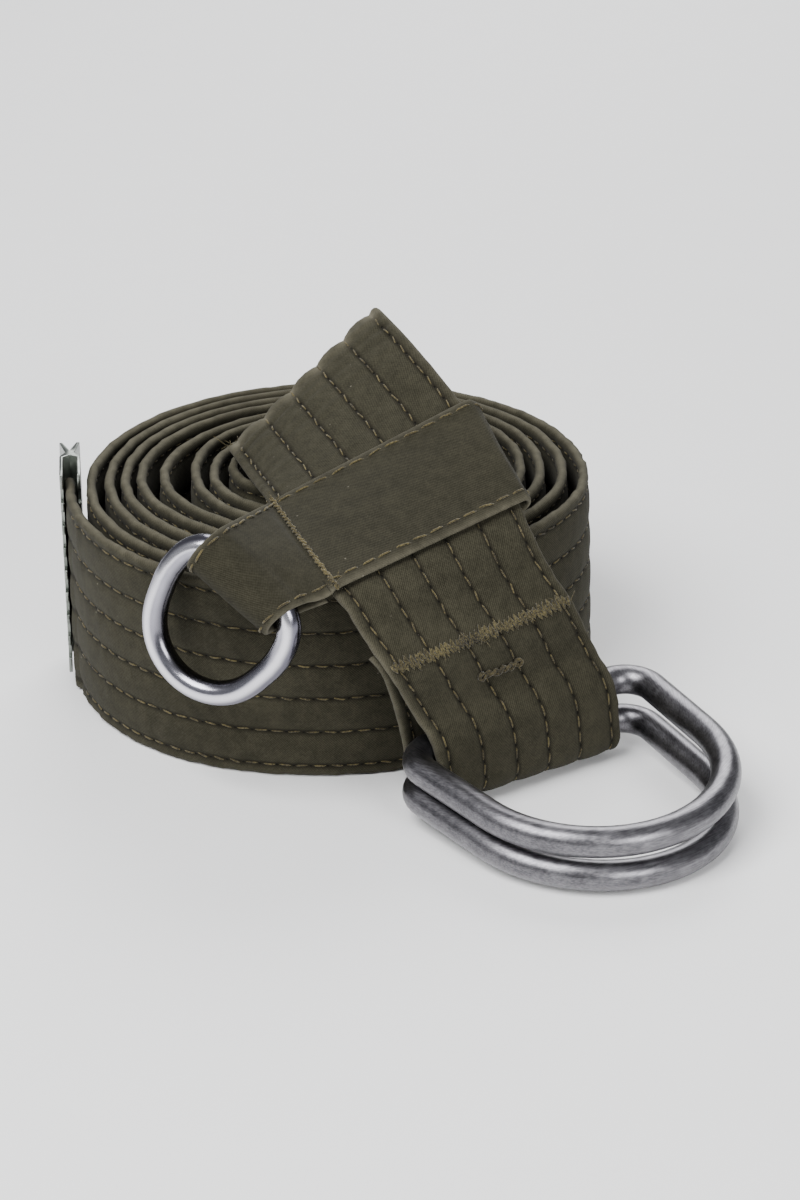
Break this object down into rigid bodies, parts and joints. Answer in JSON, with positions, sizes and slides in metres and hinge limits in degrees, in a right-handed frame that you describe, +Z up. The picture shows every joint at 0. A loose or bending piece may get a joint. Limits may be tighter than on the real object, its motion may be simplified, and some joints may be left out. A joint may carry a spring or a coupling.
{
  "type": "double ring belt",
  "caption": "Quilted olive cloth belt wound in an upright oval coil, with stacked D rings, a keeper band with a small D ring, and a folded metal end clamp.",
  "frame": {"origin": "middle of the whole object's box, at the level of the belt's lower edge on the ground", "axes": "+Z up from the ground; +X to the right and +Y away from the side that the crossing strap and the D rings face, as seen in the picture"},
  "size_m": [0.1214, 0.1312, 0.066],
  "materials": {
    "cloth": "matte",
    "keeper_cloth": "matte",
    "dark_steel": "brushed",
    "bright_nickel": "polished",
    "zinc": "satin"
  },
  "bodies": {
    "root": {"belt_strap": "cloth", "keeper_band": "keeper_cloth", "lower_d_ring": "dark_steel", "upper_d_ring": "dark_steel", "small_d_ring": "bright_nickel", "end_clamp": "zinc"}
  },
  "joints": []
}
